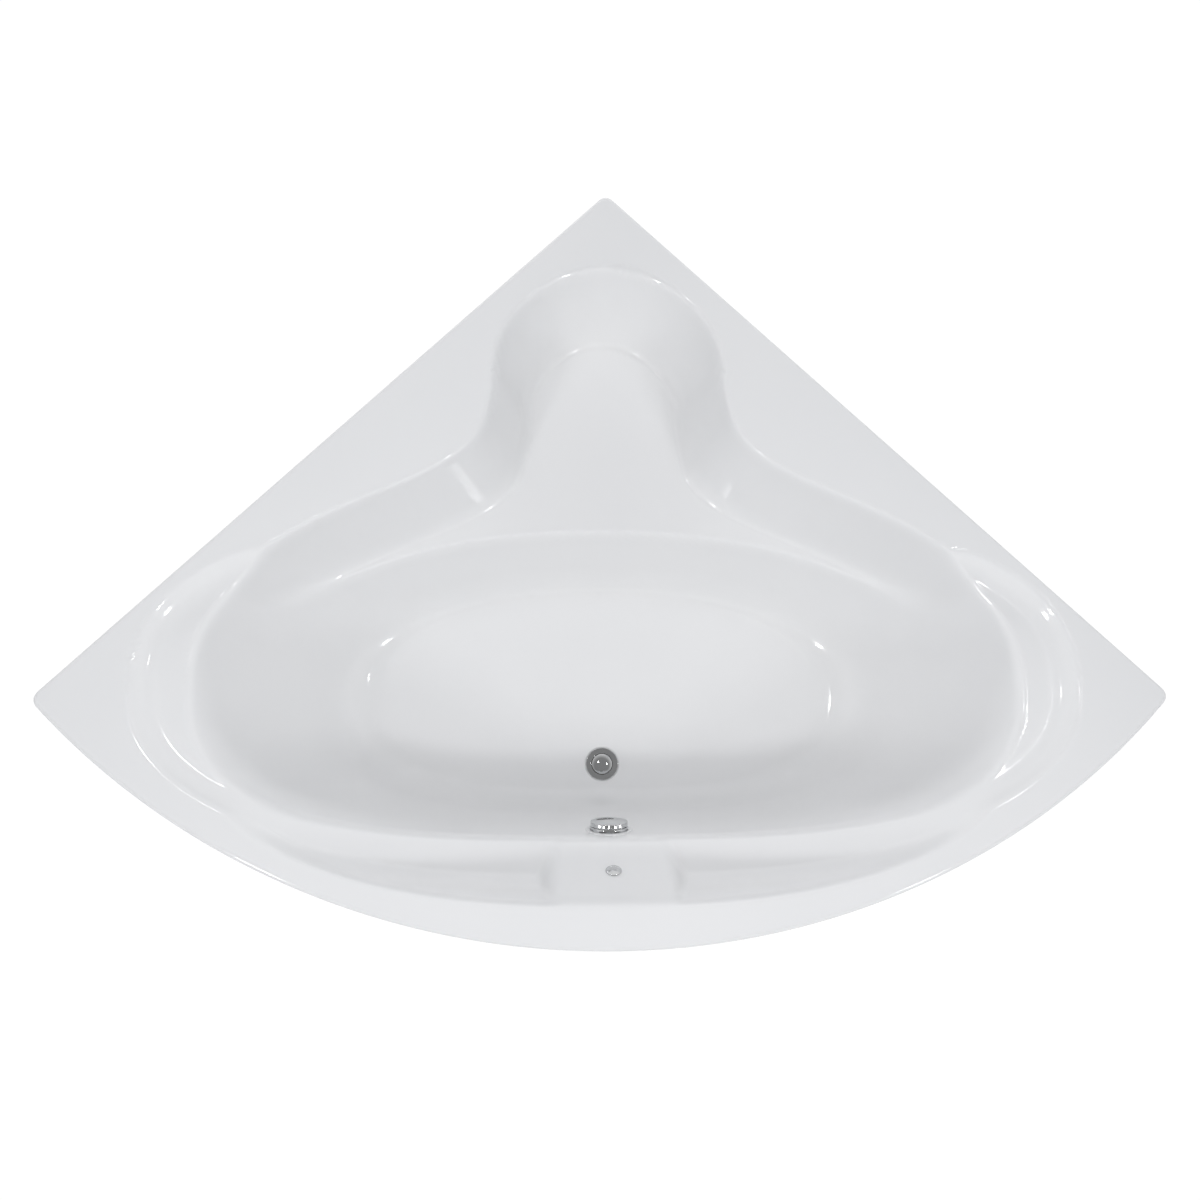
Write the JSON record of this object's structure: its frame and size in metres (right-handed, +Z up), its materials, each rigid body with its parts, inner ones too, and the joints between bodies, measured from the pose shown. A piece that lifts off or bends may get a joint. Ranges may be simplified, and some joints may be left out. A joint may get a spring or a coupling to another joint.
{
  "type": "built-in corner bathtub",
  "caption": "White acrylic corner bathtub with a corner seat, armrest scoops, a front ledge, a pop-up waste and an overflow knob, on an adjustable steel frame.",
  "frame": {"origin": "middle of the bounding box at floor level, where the feet stand", "axes": "+Z up, +Y to the corner of the room, -Y to the curved front, +X along the longest extent"},
  "size_m": [2.1052, 1.5058, 0.6],
  "materials": {
    "shell_acrylic": "gloss",
    "board_wood": "raw",
    "zinc_steel": "zinc plated",
    "fastener_steel": "zinc plated",
    "stem_steel": "zinc plated",
    "pad_plastic": "matte",
    "chrome": "polished",
    "seal_rubber": "matte",
    "grey_plastic": "satin",
    "white_plastic": "satin",
    "brass": "satin",
    "cable_plastic": "satin"
  },
  "bodies": {
    "bath": {"tub_shell": "shell_acrylic", "base_board": "board_wood", "seat_board": "board_wood", "rim_batten_left": "board_wood", "rim_batten_right": "board_wood", "rail_front": "zinc_steel", "rail_rear": "zinc_steel", "rail_seat": "zinc_steel", "frame_spine": "zinc_steel", "rail_screws": "fastener_steel", "frame_bolts": "fastener_steel", "frame_nuts": "fastener_steel", "foot_lock_nuts": "fastener_steel", "wall_bracket_left_inner": "zinc_steel", "wall_bracket_left_outer": "zinc_steel", "wall_bracket_right_inner": "zinc_steel", "wall_bracket_right_outer": "zinc_steel", "waste_flange": "chrome", "waste_seal": "seal_rubber", "waste_body": "grey_plastic", "waste_body_seal": "seal_rubber", "overflow_rosette": "chrome", "overflow_screws": "fastener_steel", "overflow_gasket": "seal_rubber", "overflow_body": "grey_plastic", "overflow_hose": "white_plastic", "hose_nut_upper": "grey_plastic", "hose_nut_lower": "grey_plastic", "pull_cable": "cable_plastic", "trap_body": "white_plastic", "trap_nut": "grey_plastic", "trap_clean_cap": "grey_plastic", "outlet_nut": "grey_plastic", "outlet_pipe": "white_plastic", "blank_cap": "chrome", "blank_cap_nut": "fastener_steel"},
    "knob": {"overflow_knob": "chrome", "knob_shaft": "brass"},
    "plug": {"plug_cap": "chrome", "plug_seal": "seal_rubber", "plug_stem": "brass"},
    "lever": {"lift_lever": "brass"},
    "foot_front_left": {"foot_stem_front_left": "stem_steel", "foot_pad_front_left": "pad_plastic"},
    "foot_front_right": {"foot_stem_front_right": "stem_steel", "foot_pad_front_right": "pad_plastic"},
    "foot_rear_left": {"foot_stem_rear_left": "stem_steel", "foot_pad_rear_left": "pad_plastic"},
    "foot_rear_right": {"foot_stem_rear_right": "stem_steel", "foot_pad_rear_right": "pad_plastic"},
    "foot_seat": {"foot_stem_seat": "stem_steel", "foot_pad_seat": "pad_plastic"}
  },
  "joints": [
    {"name": "knob_turn", "type": "hinge", "parent": "bath", "child": "knob", "pos_m": [0, -0.52783, 0.388], "axis": [0, 0.953, 0.3031], "range_deg": [0, 100]},
    {"name": "plug_lift", "type": "slide", "parent": "bath", "child": "plug", "axis": [0, 0, 1], "range_m": [0, 0.009]},
    {"name": "lever_tilt", "type": "hinge", "parent": "bath", "child": "lever", "pos_m": [0, -0.39193, 0.121], "axis": [1, 0, 0], "range_deg": [0, 24.2]},
    {"name": "foot_front_left_height", "type": "slide", "parent": "bath", "child": "foot_front_left", "axis": [0, 0, -1], "range_m": [-0.008, 0.02]},
    {"name": "foot_front_right_height", "type": "slide", "parent": "bath", "child": "foot_front_right", "axis": [0, 0, -1], "range_m": [-0.008, 0.02]},
    {"name": "foot_rear_left_height", "type": "slide", "parent": "bath", "child": "foot_rear_left", "axis": [0, 0, -1], "range_m": [-0.008, 0.02]},
    {"name": "foot_rear_right_height", "type": "slide", "parent": "bath", "child": "foot_rear_right", "axis": [0, 0, -1], "range_m": [-0.008, 0.02]},
    {"name": "foot_seat_height", "type": "slide", "parent": "bath", "child": "foot_seat", "axis": [0, 0, -1], "range_m": [-0.008, 0.02]}
  ],
  "couplings": [
    {"joint": "plug_lift", "follows": "knob_turn", "m_per_rad": 0.005156},
    {"joint": "lever_tilt", "follows": "knob_turn", "ratio": 0.24005}
  ]
}
